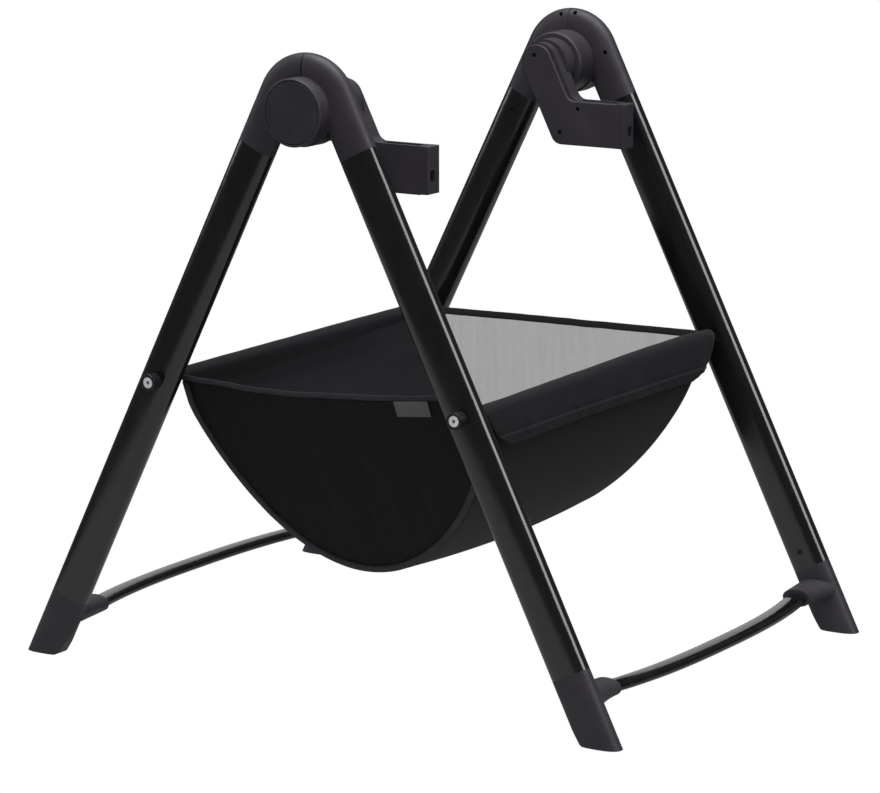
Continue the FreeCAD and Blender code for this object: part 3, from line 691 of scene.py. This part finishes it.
def sleeve_rows(way, near_edge, far_edge, swell):
    """Rows of points from the sleeve's inner edge to the flap's bottom, with their cloth places."""
    base = sleeve_section()
    rows, cloth, run = [], [], 0.0
    for i, (x, z, part) in enumerate(base):
        if i:
            run += math.hypot(x - base[i - 1][0], z - base[i - 1][1])
        near, far = FLAP_END, FLAP_END
        if part == "inner":
            near = far = end_y(z) - 0.001
        elif part == "flap":
            near, far = lerp_path(near_edge, z), lerp_path(far_edge, z)
        row = []
        for j in range(SLEEVE_COLS + 1):
            b = j / SLEEVE_COLS
            y = -near + (near + far) * b
            raised = 0.002 * (1 - (2 * b - 1) ** 2) if part == "flap" else 0.0
            down = max(0.0, (ROD_Z - z) / (ROD_Z - FLAP_LOW)) if part == "flap" else 0.0
            drape = 0.002 * ripple(y * 17, z * 9, 1.7) + 0.0004 * ripple(y * 60, z * 30, 6.0)
            hem = flap_hem((z - FLAP_LOW) / FLAP_HEM) if part == "flap" else 0.0
            crimp = max(hem, 0.0) / HEM_OUT * 0.0005 * ripple(y * 120 + z * 160, 8.0)
            dx = down ** 0.7 * (0.0016 + drape) + hem + crimp
            dz = (lerp_path(swell, y) + 0.0005 * ripple(y * 22, 9.0)) if part == "top" else 0.0
            dz *= math.sin(math.pi * min(1.0, max(0.0, (z - ROD_Z + 0.001) / 0.008 * 0.5)))
            row.append(Vector((way * (x + dx), y, z + dz + raised * down ** 1.5)))
        rows.append(row)
        # painted highlight along the flap's bottom, its hem seam and the sleeve's side edges
        highlit = flap_highlight(z) if part == "flap" else 0.0
        cloth.append([(p.y, run, 0.001 * max(highlit, 1 - smooth(0.0, 0.0016, min(p.y + near, far - p.y))))
                      for p in row])
    return rows, cloth, run


def build_sleeve(word, way, near_edge, far_edge, swell):
    """Sleeve round one rod with its hanging flap, sewn along the flap's hem and both its ends."""
    rows, cloth, run = sleeve_rows(way, near_edge, far_edge, swell)
    if way < 0:
        rows = [row[::-1] for row in rows]
        cloth = [row[::-1] for row in cloth]
    sleeve = dress(cloth_grid(word + "_sleeve_cloth", rows, cloth, SLEEVE_T), CLOTH)
    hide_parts(word + "_sleeve")
    normals = grid_normals(rows)
    first = INNER_STEPS + 8
    middle = SLEEVE_COLS // 2
    pick = [i for i, row in enumerate(rows) if row[middle].z < FLAP_LOW + HEM_STITCHES and i > first][0]
    lines = [list(zip(rows[pick], normals[pick]))]
    for edge in (END_STITCH_COL, SLEEVE_COLS - END_STITCH_COL):
        lines.append([(rows[i][edge], normals[i][edge]) for i in range(first, pick + 1)])
    threads = [dress(stitches(word + "_flap_stitches_" + str(k), line), THREAD)
               for k, line in enumerate(lines)]
    for piece in [sleeve] + threads:
        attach(piece, word + "_frame")


def build_label():
    """Plain woven tag sewn on the near panel, under its hem."""
    cols, steps = 28, 12
    width, height, cx, cz = 0.044, 0.0175, 0.1105, 0.3253
    slope = 0.11  # it follows the rise of the hem
    rows, cloth = [], []
    for i in range(steps + 1):
        v = i / steps
        row = []
        for j in range(cols + 1):
            u = j / cols
            x = cx + width * (u - 0.5)
            z = cz + height * (v - 0.5) + (x - cx) * slope + 0.0003 * ripple(u * 5, 3.0)
            curl = 0.0003 + 0.0005 * ripple(u * 3, v * 2, 1.0) + 0.0004 * (2 * u - 1) ** 4
            row.append(panel_point(x, z, -1, 0.0009 + curl))
        rows.append(row)
        cloth.append([(p.x, p.z, 0.0) for p in row])
    tag = dress(cloth_grid("side_label", rows, cloth, 0.0006), TAG)
    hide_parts("label")
    _, out = panel_axes(-1)
    lines = [[(rows[i][column] + out * 0.0002, out) for i in range(1, steps)] for column in (2, cols - 2)]
    threads = [dress(stitches("label_stitches_" + str(k), line, 0.0016, 0.0009, 0.0002), THREAD)
               for k, line in enumerate(lines)]
    for piece in [tag] + threads:
        across(piece)


build_sling()
for side_word, side_sign, hem_line in (("near", -1, NEAR_HEM), ("far", 1, FAR_HEM)):
    build_panel(side_word, side_sign, hem_line)
    build_hem(side_word, side_sign, hem_line)
    build_binding(side_word, side_sign)
build_sleeve("front", 1, NEAR_EDGE, FAR_EDGE, FRONT_SWELL)
build_sleeve("rear", -1, REAR_EDGE, REAR_EDGE, REAR_SWELL)
build_label()


# ---------- studio ----------

def area_light(name, place, target, size, power):
    light = bpy.data.lights.new(name, "AREA")
    light.shape = "RECTANGLE"
    light.size, light.size_y = size
    light.energy = power
    obj = bpy.data.objects.new(name, light)
    obj.location = place
    obj.rotation_euler = (Vector(target) - Vector(place)).to_track_quat("-Z", "Y").to_euler()
    bpy.context.scene.collection.objects.link(obj)
    return obj


def floor_disc(name, radius, drop, material):
    """Round plate just below the feet."""
    sides = 96
    turns = [2 * math.pi * i / sides for i in range(sides)]
    verts = [(radius * math.cos(turn), radius * math.sin(turn), -drop) for turn in turns]
    obj = add_object(name, verts, [tuple(range(sides))])
    obj.data.materials.append(material)
    return obj


def dim_finish():
    """Glow of the floor in reflections and bounced light; the camera sees only the white backdrop."""
    f = Finish("dim_floor")
    glow = f.add("ShaderNodeEmission")
    f.join(f.span(f.noise(f.coords(), 2.0), 0.4, 0.46, 0.3, 0.7), glow.inputs["Strength"])
    f.join(glow.outputs[0], f.output.inputs["Surface"])
    return f.material


def build_studio():
    """White backdrop that the camera sees, dim light from all round, and the lamps."""
    bounce = floor_disc("floor_bounce", 1.5, 0.0006, dim_finish())
    bounce.visible_camera = bounce.visible_shadow = False

    world = bpy.data.worlds.new("studio")
    bpy.context.scene.world = world
    world.use_nodes = True
    tree = world.node_tree
    tree.nodes.clear()
    out = tree.nodes.new("ShaderNodeOutputWorld")
    seen, felt = tree.nodes.new("ShaderNodeBackground"), tree.nodes.new("ShaderNodeBackground")
    seen.inputs["Strength"].default_value = 1.0
    seen.inputs["Color"].default_value = (1, 1, 1, 1)
    felt.inputs["Strength"].default_value = 0.08
    felt.inputs["Color"].default_value = (1, 1, 1, 1)
    path = tree.nodes.new("ShaderNodeLightPath")
    mix = tree.nodes.new("ShaderNodeMixShader")
    tree.links.new(path.outputs["Is Camera Ray"], mix.inputs[0])
    tree.links.new(felt.outputs[0], mix.inputs[1])
    tree.links.new(seen.outputs[0], mix.inputs[2])
    tree.links.new(mix.outputs[0], out.inputs[0])

    area_light("top_softbox", (0.2, -0.3, 3.2), (0, 0, 0.2), (3.0, 3.0), 150)
    area_light("left_softbox", (-3.2, -1.0, 1.6), (0, 0, 0.4), (1.0, 1.6), 14)
    area_light("right_fill", (3.1, -1.7, 1.9), (0, 0, 0.4), (0.7, 2.4), 26).visible_glossy = False
    area_light("right_strip", (3.4, -0.1, 2.1), (0, 0, 0.4), (2.4, 1.5), 55).visible_diffuse = False
    backdrop = area_light("backdrop", (-2.2, 3.2, 1.0), (0, 0, 0.3), (2.4, 1.7), 9)
    backdrop.visible_camera = backdrop.visible_diffuse = False
    area_light("front_fill", (1.5, -4.0, 2.6), (0, 0, 0.4), (1.6, 1.2), 44).visible_glossy = False


def build_camera():
    """Long lens, shifted a little, from the front right and above."""
    data = bpy.data.cameras.new("camera")
    data.lens, data.sensor_width = 157.96, 36.0
    data.shift_x, data.shift_y = -0.01433, 0.01539
    camera = bpy.data.objects.new("camera", data)
    camera.location = (2.26344, -3.63175, 1.14847)
    camera.rotation_euler = (math.radians(78.39), 0, math.radians(31.85))
    bpy.context.scene.collection.objects.link(camera)
    bpy.context.scene.camera = camera


build_studio()
build_camera()
bpy.context.scene.view_settings.view_transform = "Standard"
